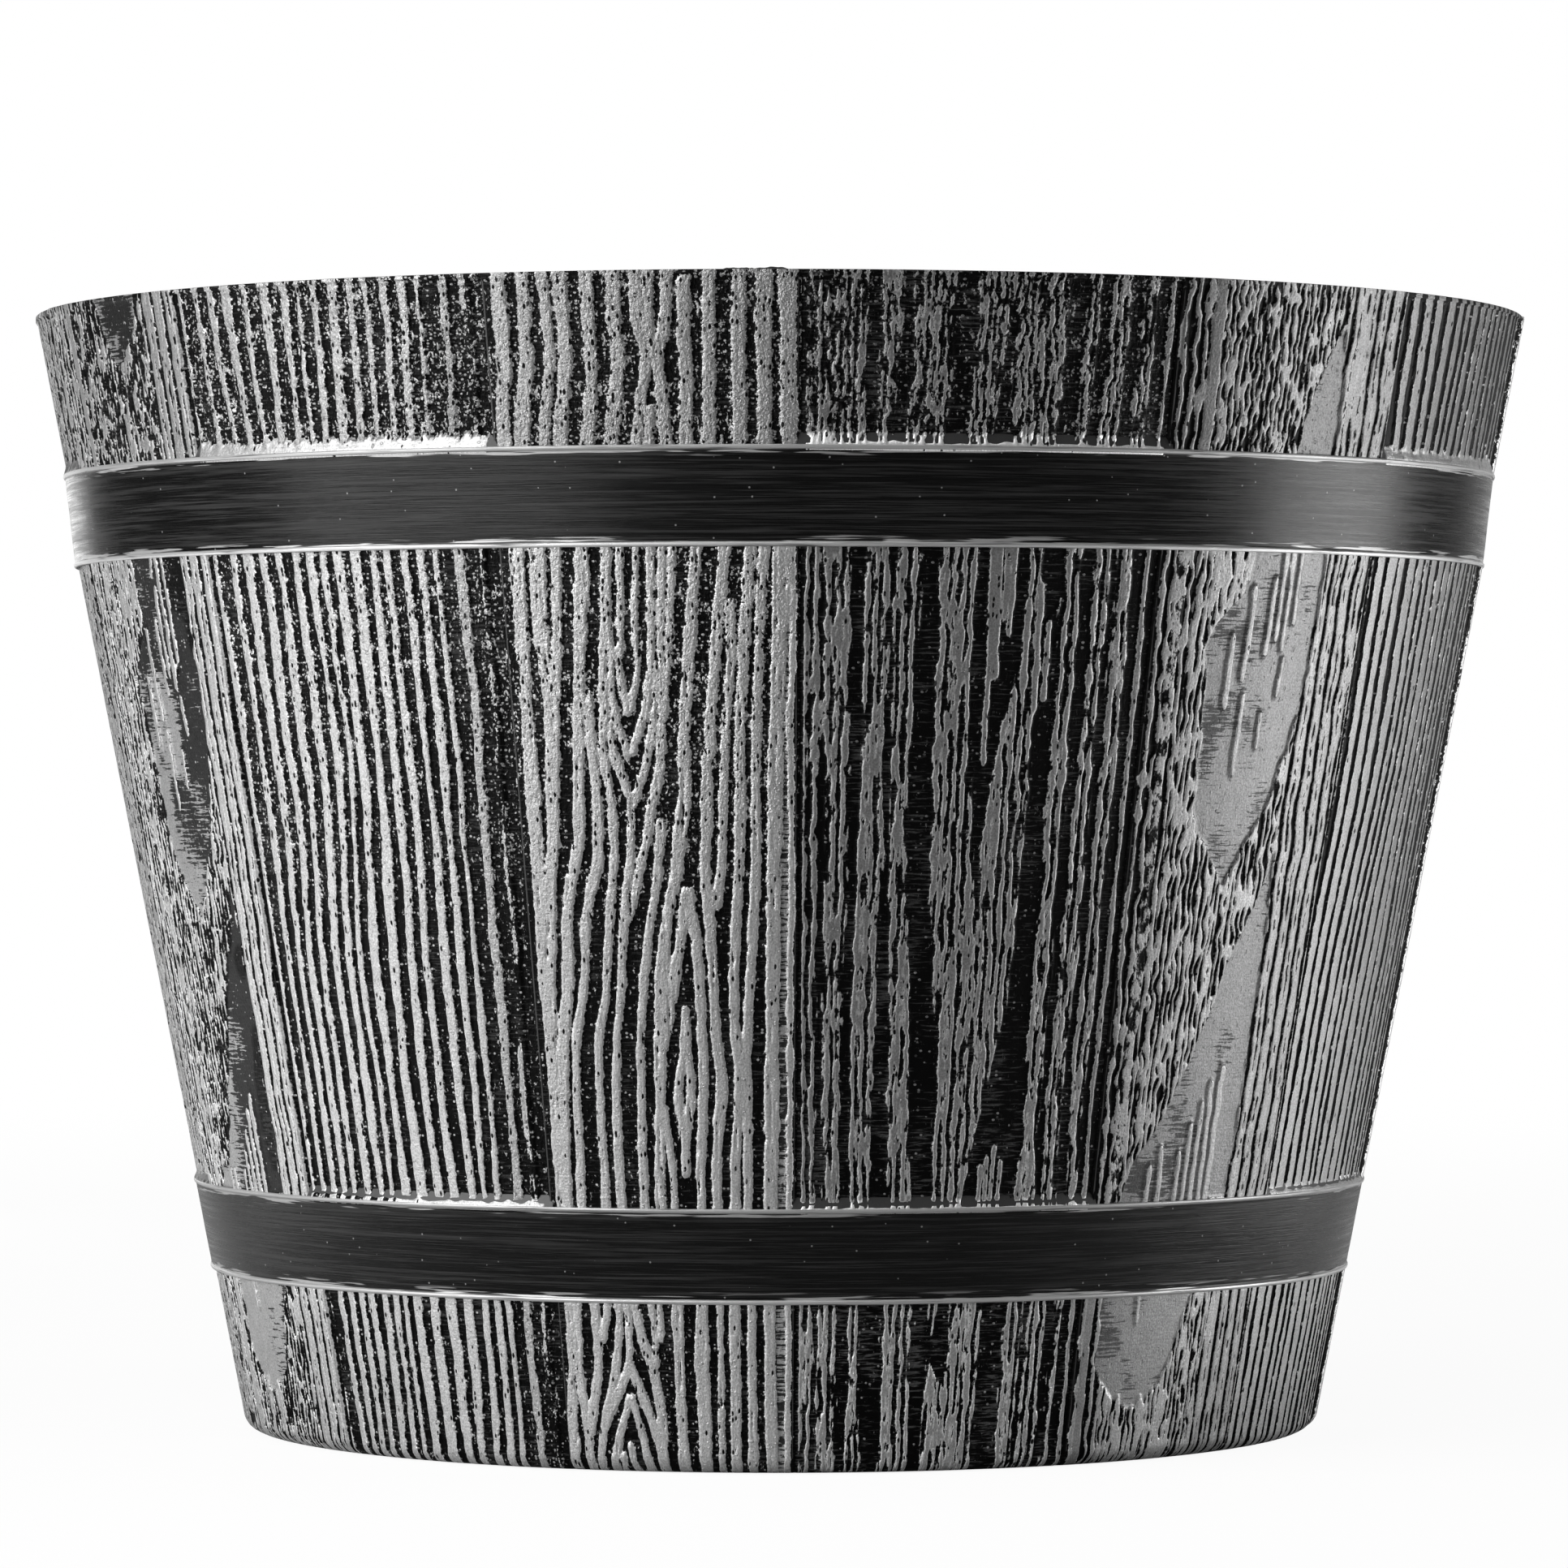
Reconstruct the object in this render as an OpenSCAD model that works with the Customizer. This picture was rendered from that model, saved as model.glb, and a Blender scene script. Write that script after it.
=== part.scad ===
// Round resin planter in the shape of a half barrel. The tub is one moulding:
// wall, floor, foot ring, the raised and set-back staves and both hoops are a
// single piece of plastic. Soft plugs close the drain holes in its floor and
// pull out upwards. The origin is on the ground under the middle of the tub,
// +Z is up and the front is -Y; azimuths are counted from the front towards +X.

/* [Tub] */
// Height from the ground to the rim
tub_height = 226.5; // [200:0.5:300]
// Outer radius of the rim
rim_radius = 152.4; // [140:0.1:180]
// Outer radius of the set-back staves, carried down to the ground
foot_radius = 109; // [95:0.1:130]
// Thickness of the side wall
wall_thickness = 2.8; // [2:0.1:4]
// Step inwards of the band above the upper hoop
rim_band_inset = 1.4; // [0.5:0.1:2]
// Height of the smooth land round the top edge
rim_land_height = 0.8; // [0.4:0.1:3]
// Radius of the rounded edge at the bottom of the wall
foot_corner = 3; // [1:0.5:5]

/* [Staves] */
// Number of raised staves, each followed by a set-back one
stave_pairs = 7; // [4:1:12]
// Width of a raised stave, in degrees round the tub
raised_stave_angle = 22.7; // [10:0.1:28]
// Azimuth of the left edge of the first raised stave, seen from the front
first_stave_azimuth = -21.3; // [-45:0.1:0]
// How far the raised staves stand out from the set-back ones
stave_step = 0.6; // [0.3:0.1:1.2]

/* [Hoops] */
// Height of the lower edge of the lower hoop
lower_hoop_z = 32.7; // [15:0.1:60]
// Width of the lower hoop, edge to edge
lower_hoop_width = 18.4; // [10:0.1:30]
// Height of the lower edge of the upper hoop
upper_hoop_z = 175.6; // [120:0.1:180]
// Width of the upper hoop, edge to edge
upper_hoop_width = 18.9; // [10:0.1:19]
// How far a hoop stands out from the set-back staves
hoop_proud = 1; // [0.8:0.1:2]
// Width of the rounded lip along each edge of a hoop
hoop_lip_width = 0.9; // [0.5:0.1:2]
// How far that lip stands out from the face of the hoop
hoop_lip_proud = 0.25; // [0.1:0.05:0.6]
// Height of the ramp that runs from a hoop's top edge onto a set-back stave
ramp_height = 2.4; // [1:0.1:5]

/* [Floor] */
// Height of the underside of the floor above the ground
floor_lift = 6; // [3:0.5:15]
// Thickness of the floor
floor_thickness = 3; // [2:0.1:5]
// Width of the foot ring that the tub stands on
foot_ring_width = 7; // [5:0.5:15]
// Number of stiffening ribs under the floor
rib_count = 8; // [4:4:16]
// Thickness of a rib
rib_thickness = 2; // [1:0.1:4]
// Depth of a rib below the floor
rib_depth = 3.5; // [1:0.5:5]

/* [Drain holes] */
// Radius of a drain hole
drain_radius = 6; // [4:0.1:9]
// Distance of the four outer drain holes from the middle
drain_circle = 62; // [40:0.5:75]
// Height of the raised seat round a drain hole
seat_height = 1.2; // [0.5:0.1:3]
// Width of the seat from the edge of the hole
seat_width = 6; // [4:0.5:10]

/* [Drain plugs] */
// Running clearance between plug and hole, on the radius
plug_clearance = 0.05; // [0.02:0.01:0.1]
// How far the plug's head covers the seat, from the edge of the hole
plug_head_overlap = 3.5; // [2:0.5:4]
// Thickness of the plug's head
plug_head_thickness = 2; // [1:0.1:4]
// How far the plug reaches below the floor
plug_tip_length = 2.5; // [1:0.5:2.5]
// Radius of the knob that the plug is pulled by
knob_radius = 3.4; // [2.5:0.1:5]
// Height of that knob above the head
knob_height = 7; // [5:0.5:12]

/* [Hidden] */
$fn = 180;

// Slope of the wall: growth of radius for each unit of height
wall_slope = (rim_radius - stave_step + rim_band_inset - foot_radius) / tub_height;
wall_lean = atan(wall_slope);
lower_hoop_top = lower_hoop_z + lower_hoop_width;
upper_hoop_top = upper_hoop_z + upper_hoop_width;
// Share of the upper hoop's width, from its lower edge, at which the wall behind it steps inwards
step_share = 0.2;
step_z = upper_hoop_z + step_share * upper_hoop_width;
floor_top = floor_lift + floor_thickness;
seat_top = floor_top + seat_height;
pair_angle = 360 / stave_pairs;
set_back_angle = pair_angle - raised_stave_angle;
// How deep the staves, hoops and ramps are rooted in the wall
root = wall_thickness / 2;
// How far a ramp's end runs on over the edge of the raised stave, in degrees
ramp_overrun = 0.3;
// Share of the lip's height at which a ramp leaves the lip
ramp_start_share = 0.8;
// How far a ramp's upper end dips into the wall
ramp_sink = 0.05;
// Angle between two computed points of a rounded edge
arc_step = 15;
// Gap from the middle drain seat to the outside of the hub that the ribs meet in
hub_gap = 3;
hub_radius = drain_radius + seat_width + hub_gap;
// How far a cutter runs past the faces that it cuts
cut = 1;
plug_radius = drain_radius - plug_clearance;
plug_head_radius = drain_radius + plug_head_overlap;
// Share of the knob's radius that its neck has
knob_neck_share = 0.6;
knob_neck_radius = knob_neck_share * knob_radius;
drain_places = [
    [0, 0],
    [0, -drain_circle],
    [drain_circle, 0],
    [0, drain_circle],
    [-drain_circle, 0]
];

// Radius of the set-back staves at a height: body below the step, rim band above it
function body_r(z) = foot_radius + wall_slope * z;
function rim_r(z) = body_r(z) - rim_band_inset;

// Inner radius of the wall: one straight cone from the floor to the rim
function inner_r(z) =
    let (low = body_r(floor_top) - wall_thickness,
         high = rim_r(tub_height) - wall_thickness)
    low + (high - low) * (z - floor_top) / (tub_height - floor_top);

// Quarter of a circle that rounds the bottom edge and runs into the leaning wall
function foot_corner_points() =
    let (middle_r = foot_radius + wall_slope * foot_corner - foot_corner / cos(wall_lean))
    [for (a = [-90 : arc_step : -wall_lean])
        [middle_r + foot_corner * cos(a), foot_corner + foot_corner * sin(a)]];

// Half round of a lip that starts at height z on a face that runs from r0 to r1
function lip_points(z, r0, r1) =
    [for (a = [0 : 2 * arc_step : 180])
        let (along = (1 - cos(a)) / 2)
        [r0 + (r1 - r0) * along + hoop_lip_proud * sin(a), z + hoop_lip_width * along]];

// Wall, floor and foot ring as one turned shape
module shell() {
    ring_inner = foot_radius - foot_ring_width;
    rotate_extrude()
        polygon(concat(
            [[0, floor_lift], [ring_inner, floor_lift], [ring_inner, 0]],
            foot_corner_points(),
            [
                [body_r(step_z), step_z],
                [rim_r(step_z), step_z],
                [rim_r(tub_height - rim_land_height), tub_height - rim_land_height],
                [rim_radius, tub_height - rim_land_height],
                [rim_radius, tub_height],
                [inner_r(tub_height), tub_height],
                [inner_r(floor_top), floor_top],
                [0, floor_top]
            ]
        ));
}

// Turns its children to the left edge of every raised stave
module at_each_stave() {
    for (i = [0 : stave_pairs - 1])
        rotate(first_stave_azimuth - 90 + i * pair_angle) children();
}

// One raised stave: a thin sector that follows the wall and its step
module raised_stave() {
    low = foot_corner;
    high = tub_height - rim_land_height;
    rotate_extrude(angle = raised_stave_angle)
        polygon([
            [body_r(low) - root, low],
            [body_r(low) + stave_step, low],
            [body_r(step_z) + stave_step, step_z],
            [rim_r(step_z) + stave_step, step_z],
            [rim_r(high) + stave_step, high],
            [rim_r(high) - root, high],
            [rim_r(step_z) - root, step_z]
        ]);
}

// Hoop with a rounded lip along each edge; low_r and high_r are the wall behind its edges
module hoop(z, width, low_r, high_r) {
    low_face = low_r + hoop_proud;
    high_face = high_r + hoop_proud;
    lip_rise = (high_face - low_face) * hoop_lip_width / width;
    rotate_extrude()
        polygon(concat(
            [[low_r - root, z]],
            lip_points(z, low_face, low_face + lip_rise),
            lip_points(z + width - hoop_lip_width, high_face - lip_rise, high_face),
            [[high_r - root, z + width]]
        ));
}

// Ramp from the crest of a hoop's upper lip onto one set-back stave; low_r and high_r are
// the wall at the hoop's top edge and at the ramp's upper end
module ramp(z, low_r, high_r) {
    crest_r = low_r + hoop_proud + ramp_start_share * hoop_lip_proud;
    crest_z = z - hoop_lip_width / 2;
    rotate(raised_stave_angle - ramp_overrun)
        rotate_extrude(angle = set_back_angle + 2 * ramp_overrun)
            polygon([
                [low_r - root, crest_z],
                [crest_r, crest_z],
                [high_r - ramp_sink, z + ramp_height],
                [high_r - root, z + ramp_height]
            ]);
}

// Stiffening ribs under the floor, from a hub out to the foot ring
module ribs() {
    reach = foot_radius - foot_ring_width + root;
    low = floor_lift - rib_depth;
    for (i = [0 : rib_count - 1])
        rotate((i + 0.5) * 360 / rib_count)
            translate([hub_radius - rib_thickness / 2, -rib_thickness / 2, low])
                cube([reach - hub_radius + rib_thickness / 2, rib_thickness, rib_depth + root]);
    translate([0, 0, low])
        difference() {
            cylinder(r = hub_radius, h = rib_depth + root);
            translate([0, 0, -cut])
                cylinder(r = hub_radius - rib_thickness, h = rib_depth + root + 2 * cut);
        }
}

// Raised seats that the heads of the plugs lie on
module drain_seats() {
    for (place = drain_places)
        translate([place.x, place.y, floor_top - root])
            cylinder(r = drain_radius + seat_width, h = seat_height + root);
}

module drain_holes() {
    for (place = drain_places)
        translate([place.x, place.y, floor_lift - cut])
            cylinder(r = drain_radius, h = seat_top - floor_lift + 2 * cut);
}

// The whole moulding
module tub() {
    color([0.42, 0.42, 0.43])
        difference() {
            union() {
                shell();
                ribs();
                drain_seats();
                at_each_stave() raised_stave();
                hoop(lower_hoop_z, lower_hoop_width, body_r(lower_hoop_z), body_r(lower_hoop_top));
                hoop(upper_hoop_z, upper_hoop_width, body_r(upper_hoop_z), rim_r(upper_hoop_top));
                at_each_stave()
                    ramp(lower_hoop_top, body_r(lower_hoop_top), body_r(lower_hoop_top + ramp_height));
                at_each_stave()
                    ramp(upper_hoop_top, rim_r(upper_hoop_top), rim_r(upper_hoop_top + ramp_height));
            }
            drain_holes();
        }
}

// Soft plug: a stem through the floor, a flat head on the seat and a knob to pull
module drain_plug(place) {
    tip_z = floor_lift - plug_tip_length;
    head_top = seat_top + plug_head_thickness;
    knob_middle = head_top + knob_height - knob_radius;
    edge = plug_head_thickness / 4;
    color([0.06, 0.06, 0.06])
        translate([place.x, place.y, 0])
            rotate_extrude()
                polygon(concat(
                    [
                        [0, tip_z],
                        [plug_radius - plug_tip_length / 2, tip_z],
                        [plug_radius, tip_z + plug_tip_length / 2],
                        [plug_radius, seat_top],
                        [plug_head_radius, seat_top],
                        [plug_head_radius, head_top - edge],
                        [plug_head_radius - edge, head_top],
                        [knob_neck_radius, head_top]
                    ],
                    [for (a = [-45 : arc_step : 75])
                        [knob_radius * cos(a), knob_middle + knob_radius * sin(a)]],
                    [[0, knob_middle + knob_radius]]
                ));
}

module drain_plug_centre() { drain_plug(drain_places[0]); }
module drain_plug_front() { drain_plug(drain_places[1]); }
module drain_plug_right() { drain_plug(drain_places[2]); }
module drain_plug_back() { drain_plug(drain_places[3]); }
module drain_plug_left() { drain_plug(drain_places[4]); }

tub();
drain_plug_centre();
drain_plug_front();
drain_plug_right();
drain_plug_back();
drain_plug_left();
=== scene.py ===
import math

import bpy
import numpy as np
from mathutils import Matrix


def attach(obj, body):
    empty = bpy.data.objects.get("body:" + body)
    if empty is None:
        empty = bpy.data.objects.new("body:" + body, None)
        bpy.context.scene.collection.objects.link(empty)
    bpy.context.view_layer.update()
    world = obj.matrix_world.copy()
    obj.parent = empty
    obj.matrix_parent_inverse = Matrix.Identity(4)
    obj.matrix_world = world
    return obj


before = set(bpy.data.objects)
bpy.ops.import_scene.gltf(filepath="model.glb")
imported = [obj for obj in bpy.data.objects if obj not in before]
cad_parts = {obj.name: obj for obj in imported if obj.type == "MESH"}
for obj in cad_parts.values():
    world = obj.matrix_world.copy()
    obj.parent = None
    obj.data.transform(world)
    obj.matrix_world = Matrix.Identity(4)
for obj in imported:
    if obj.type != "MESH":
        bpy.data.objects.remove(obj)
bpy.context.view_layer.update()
scene = bpy.context.scene

# -------- camera and studio
# A photographer's table: a long lens level with the middle of the tub, a pale floor that
# runs back into white, a large soft light high on the left and a tall one on the right.
LENS_MM, SENSOR_MM = 159.6, 36.0
CAMERA_AT = (0.001, -1.434, 0.1315)

camera_data = bpy.data.cameras.new("camera")
camera_data.lens = LENS_MM
camera_data.sensor_width = camera_data.sensor_height = SENSOR_MM
camera_data.sensor_fit = "HORIZONTAL"
camera_data.clip_start = 0.05
camera_data.clip_end = 60.0
camera = bpy.data.objects.new("camera", camera_data)
camera.location = CAMERA_AT
camera.rotation_euler = (math.radians(90), 0, 0)
scene.collection.objects.link(camera)
scene.camera = camera
scene.view_settings.view_transform = "Standard"


class Wire:
    """A socket of the material being made; sums and products of wires add Math nodes."""

    def __init__(self, tree, socket=None):
        self.tree, self.socket = tree, socket

    def node(self, kind, settings=None, sockets=None, out=0):
        """Adds a node. Its settings are set first, then each socket gets its value or wire."""
        made = self.tree.nodes.new("ShaderNode" + kind)
        for name, value in (settings or {}).items():
            setattr(made, name, value)
        for key, value in (sockets or {}).items():
            if isinstance(value, Wire):
                self.tree.links.new(value.socket, made.inputs[key])
            else:
                made.inputs[key].default_value = value
        return Wire(self.tree, made.outputs[out])

    def math(self, operation, *values):
        """A Math node on these values."""
        return self.node("Math", {"operation": operation}, dict(enumerate(values)))

    def __add__(self, other):
        return self.math("ADD", self, other)

    def __sub__(self, other):
        return self.math("SUBTRACT", self, other)

    def __rsub__(self, other):
        return self.math("SUBTRACT", other, self)

    def __mul__(self, other):
        return self.math("MULTIPLY", self, other)

    __radd__, __rmul__ = __add__, __mul__

    def or_more(self, other):
        """The greater of this and another."""
        return self.math("MAXIMUM", self, other)

    def rise(self, low, high):
        """0 below low, 1 above high and a smooth step between them."""
        return self.node(
            "MapRange", {"interpolation_type": "SMOOTHSTEP"}, {0: self, 1: low, 2: high, 3: 0.0, 4: 1.0}
        )

    def mix(self, low, high):
        """From the colour low, where this is 0, to the colour high, where it is 1."""
        return self.node("Mix", {"data_type": "RGBA"}, {0: self, 6: low, 7: high}, out=2)

    def along(self, axis):
        """One of these coordinates: X, Y or Z."""
        return self.node("SeparateXYZ", None, {0: self}, out=axis)

    def stretched(self, x, y, z=1.0):
        """These coordinates, multiplied by a number for each axis."""
        return self.node("VectorMath", {"operation": "MULTIPLY"}, {0: self, 1: (x, y, z)})

    def noise(self, scale, detail=2.0, roughness=0.5):
        """Noise on these coordinates, from about 0.2 to 0.8."""
        return self.node(
            "TexNoise", None, {"Vector": self, "Scale": scale, "Detail": detail, "Roughness": roughness}
        )

    def cells(self, scale, out):
        """Scattered points on these coordinates: each one's own Color, or the Distance to it."""
        return self.node("TexVoronoi", None, {"Vector": self, "Scale": scale}, out=out)


def grey(value):
    """A neutral colour of this brightness."""
    return (value, value, value, 1.0)


def new_material(name):
    """An empty node material, the wire that its nodes start from, and its output node."""
    made = bpy.data.materials.new(name)
    made.use_nodes = True
    made.node_tree.nodes.clear()
    output = made.node_tree.nodes.new("ShaderNodeOutputMaterial")
    return made, Wire(made.node_tree), output


def finished(start, output, kind, sockets):
    """Adds the last shader, with these sockets, and joins it to the material's output."""
    shader = start.node(kind, None, sockets)
    start.tree.links.new(shader.socket, output.inputs["Surface"])


def placed(name, mesh, material):
    """An object of this mesh and material, linked to the scene."""
    mesh.materials.append(material)
    made = bpy.data.objects.new(name, mesh)
    scene.collection.objects.link(made)
    return made


FLOOR_HALF, FLOOR_Z = 6.0, -0.0002  # metres
FLOOR_PALE, FLOOR_SHADE = 0.95, 0.36  # the table as the camera sees it, and its bounce on to the tub
FLOOR_GLOW = 0.94  # how much of the table near the tub is plain white; the rest shows the shadow
FADE_FROM, FADE_TO, FADE_END = 0.20, 1.5, 3.0  # metres from the tub's axis where it runs into white
FOOT_INSIDE, FOOT_MIDDLE = 0.102, 0.107  # metres; inside the foot ring the table lies in the dark
# A white card on either side of the tub, painted into the table where only the gloss shows it: a painted
# reflection; its width and depth in metres
CARD_EDGE, CARD_FULL, CARD_FADE, CARD_END = 0.09, 0.22, 0.45, 0.75
CARD_GLOW, FAR_GLOW = 0.45, 0.25  # how bright the cards and the far table look in the gloss

floor_material, start, output = new_material("studio_floor")
seen = start.node("LightPath", out="Is Camera Ray")
mirrored = start.node("LightPath", out="Is Glossy Ray")
at = start.node("TexCoord", out="Object")
away = at.node("VectorMath", {"operation": "LENGTH"}, {0: at}, out="Value")
table = start.node("BsdfDiffuse", None, {"Color": seen.mix(grey(FLOOR_SHADE), grey(FLOOR_PALE))})
white = start.node("Emission", None, {"Color": grey(1.0), "Strength": 1.0})
glow = away.rise(FADE_FROM, FADE_TO) * (1 - FLOOR_GLOW) + FLOOR_GLOW
glow = glow * away.rise(FOOT_INSIDE, FOOT_MIDDLE)
aside = at.along("X")
card_reflection = aside.math("ABSOLUTE", aside).rise(CARD_EDGE, CARD_FULL) * (1 - away.rise(CARD_FADE, CARD_END))
reflected = (away.rise(FADE_TO, FADE_END) * FAR_GLOW).or_more(card_reflection * CARD_GLOW)
shown = (seen * glow).or_more(mirrored * reflected)
finished(start, output, "MixShader", {0: shown, 1: table, 2: white})

floor_mesh = bpy.data.meshes.new("floor")
corners = [(x * FLOOR_HALF, y * FLOOR_HALF, FLOOR_Z) for x, y in ((-1, -1), (1, -1), (1, 1), (-1, 1))]
floor_mesh.from_pydata(corners, [], [(0, 1, 2, 3)])
floor = placed("floor", floor_mesh, floor_material)

# The room is dark before the tub and white paper behind it; the camera sees white on every side
ROOM, PAPER = 0.02, 0.80
PAPER_EDGE, PAPER_FULL = 0.68, 1.0  # how far back a ray runs, of 1, where it meets the paper
world = bpy.data.worlds.new("studio")
scene.world = world
world.use_nodes = True
world.node_tree.nodes.clear()
start = Wire(world.node_tree)
seen = start.node("LightPath", out="Is Camera Ray")
behind = start.node("TexCoord", out="Generated").along("Y")
level = seen.or_more(behind.rise(PAPER_EDGE, PAPER_FULL) * (PAPER - ROOM) + ROOM)
backdrop = start.node("Background", None, {"Color": grey(1.0), "Strength": level})
start.tree.links.new(backdrop.socket, start.tree.nodes.new("ShaderNodeOutputWorld").inputs["Surface"])


def soft_light(name, azimuth, height, distance, size, watts, aim_height):
    """A rectangular soft box at an azimuth from the front, turned to face the tub."""
    data = bpy.data.lights.new(name, "AREA")
    data.shape = "RECTANGLE"
    data.size, data.size_y = size
    data.energy = watts
    lamp = bpy.data.objects.new(name, data)
    turn = math.radians(azimuth)
    lamp.location = (distance * math.sin(turn), -distance * math.cos(turn), height)
    reach = math.hypot(distance, height - aim_height)
    lamp.rotation_euler = (math.acos((height - aim_height) / reach), 0, turn)
    lamp.visible_camera = False
    scene.collection.objects.link(lamp)


# Degrees from the front; height, distance and size in metres; watts; and the height that it faces:
# the middle of the tub, or far up for the two cards that lie on the table
MIDDLE, UPWARD = 0.12, 9.0
soft_light("key_left", -54, 0.50, 1.15, (1.2, 1.0), 18.5, MIDDLE)
soft_light("strip_left", -148, 0.16, 0.75, (0.24, 0.30), 0.35, MIDDLE)
soft_light("strip_right", 90, 0.14, 0.72, (0.36, 0.28), 2.2, MIDDLE)
soft_light("card_right", 88, 0.004, 0.42, (0.4, 0.34), 1.3, UPWARD)
soft_light("card_left", -84, 0.004, 0.42, (0.4, 0.30), 0.9, UPWARD)
soft_light("fill_front", 5, 1.5, 1.5, (1.2, 0.8), 1.0, MIDDLE)
soft_light("overhead", 0, 1.5, 0.3, (0.9, 0.9), 6.0, MIDDLE)

# -------- staves
# The outer face of the moulding: seven narrow raised staves and seven wide set-back ones,
# cast in black resin with deep wood grain and dry-brushed with silver on the high places.
# Each one is a closed skin over the wall, and neighbours meet in the groove between them.
MM = 0.001  # sizes below are in mm, and angles in degrees
FOOT_RADIUS, WALL_SLOPE, TUB_HEIGHT, FOOT_ROUND = 109.0, 0.195139, 226.5, 3.0
RIM_INSET, INSET_Z = 1.4, 179.38  # above the step that the upper hoop hides, the wall lies deeper
LAND_Z, LAND_RADIUS, LAND_LIFT = 225.7, 152.4, 0.75  # the smooth land along the rim
STAVE_STEP, PAIR_ANGLE, RAISED_ANGLE, FIRST_EDGE = 0.6, 360 / 7, 22.7, -21.3
GRAIN_FLOOR, GRAIN_DEPTH = 0.03, 0.46  # lowest grain above the wall, and its depth
EDGE_OVERHANG = 0.22  # degrees that a raised stave's skin covers of its neighbour
EDGE_SLOPE = 0.75  # mm over which the grain falls to the wall at a skin's side edge
LOWER_HOOP, UPPER_HOOP = (32.7, 51.1), (175.6, 194.5)
HOOP_PROUD, HOOP_HIDES = 1.0, 0.6  # a hoop's face over the wall; the grain goes on under its edges
RAMP_HEIGHT, LOWER_RAMP_SHARE, RAMP_PROUD = 2.6, 0.6, 0.25  # the ramps above the hoops
SKIN_ROOT = 0.35  # how far a skin reaches into the wall
FINE_MESH, COARSE_MESH = (0.29, 0.5), (0.5, 0.62)  # column and row spacing, in front and behind
BACK_STAVES = range(5, 12)  # the staves with the coarse mesh
# The grain is drawn flat: t runs across a stave, in mm at this radius, and z up it. The drawing
# changes at these two heights, under the hoops. The field of a grain is the distance in mm to the
# nearest edge of a ridge, positive on the ridge
GAUGE_RADIUS = 131.0
FOOT_FIELD, RIM_FIELD = 33, 190
NO_RIDGE = -3.0


def wall_radius(z):
    """The set-back face: a cone, further in above a hidden step, and rounded off at the ground."""
    lean = math.atan(WALL_SLOPE)
    middle = FOOT_RADIUS + WALL_SLOPE * FOOT_ROUND - FOOT_ROUND / math.cos(lean)
    cone = FOOT_RADIUS + WALL_SLOPE * z - RIM_INSET * (z > INSET_Z)
    corner = middle + np.sqrt(np.maximum(FOOT_ROUND**2 - (FOOT_ROUND - z) ** 2, 0))
    return np.where(z < FOOT_ROUND * (1 - math.sin(lean)), corner, cone)


def ease(x):
    """A smooth step from 0 to 1 as x goes from 0 to 1."""
    x = np.clip(x, 0, 1)
    return x * x * (3 - 2 * x)


def ripple(x, y, seed):
    """Smooth noise from -1 to 1: random numbers on a unit lattice, blended between its corners."""
    table = np.random.default_rng(seed).uniform(-1, 1, (256, 256))
    x, y = np.broadcast_arrays(np.asarray(x, float), np.asarray(y, float))
    i, j = np.floor(x).astype(int), np.floor(y).astype(int)
    u, v = ease(x - i), ease(y - j)
    i0, i1, j0, j1 = i & 255, (i + 1) & 255, j & 255, (j + 1) & 255
    low = table[i0, j0] * (1 - u) + table[i1, j0] * u
    high = table[i0, j1] * (1 - u) + table[i1, j1] * u
    return low * (1 - v) + high * v


def strand(t, z, centre, width, low=-50.0, high=300.0):
    """Field of one ridge: half its width less the distance to its line from low to high."""
    past = np.maximum(np.maximum(low - z, z - high), 0)
    return width / 2 - np.hypot(t - centre, past * 0.5)


def slits(t, z, pitch, width, seed, stretch=9.0, share=0.0):
    """Field of thin broken grooves: positive between them. Each stops and starts along z."""
    order = t / pitch
    line = np.round(order)
    on = ripple(line * 7.31 + 0.37, z / stretch, seed) + share
    return np.abs(order - line) * pitch - width / 2 * ease(on * 4)


def drift(t, z, seed, wide):
    """The slow wander of the grain sideways, in mm."""
    return wide * ripple(t / 9, z / 24, seed) + 0.3 * wide * ripple(t / 3.2, z / 8, seed + 1)


# Place and width of each ridge of a straight stave, and the pitch of more at its left and right side
STRAIGHT = (
    (0.4, 3.6), (5.4, 1.5), (8.8, 1.8), (12.2, 2), (15.6, 1.8), (19.6, 2.2), (23.2, 1.9), (26.3, 1.4),
    (29.8, 2.2), (34.2, 2.6), (38.7, 2.5), (42.7, 2.2), (47.2, 1.9), (50.7, 1.8), (53.9, 1.4), (58.4, 1.9),
)
LEFT_PITCH, RIGHT_PITCH = 3.5, 3.9
LEAN, SWAY, SWAY_SPAN = 3.4, 0.9, 48  # how far the ridges lean at mid-height and sway at the rim


def straight_grain(t, z, seed, shift, widen):
    """Field of parallel ridges, which lean over to one side at mid-height."""
    t = t + drift(t, z, seed, 0.55)
    across = np.clip((t + shift) / SWAY_SPAN, 0, 1)
    t = t + shift - LEAN * ease((z - 92) / 45) * np.sin(math.pi * across)
    t = t + SWAY * ease((z - RIM_FIELD) / 30) * np.sin(math.pi * across * 2)
    field = np.full(t.shape, NO_RIDGE)
    for k, (centre, width) in enumerate(STRAIGHT):
        width = width * (widen + 0.22 * ripple(k * 3.7, z / 17, seed + 5) - 0.14 * (z > RIM_FIELD))
        field = np.maximum(field, strand(t, z, centre + 0.25 * ripple(k * 5.3, z / 11, seed + 6), width))
    for k in (-3, -2, -1, 1, 2):  # ridges that the shift brings in at either side
        centre = STRAIGHT[-1][0] + RIGHT_PITCH * k if k > 0 else STRAIGHT[0][0] + LEFT_PITCH * k
        field = np.maximum(field, strand(t, z, centre, 1.7 + 0.4 * ripple(k * 9.1, z / 15, seed + 8)))
    return field


ROUNDING = 1.8  # mm along a drawn ridge over which its knots are rounded


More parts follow.
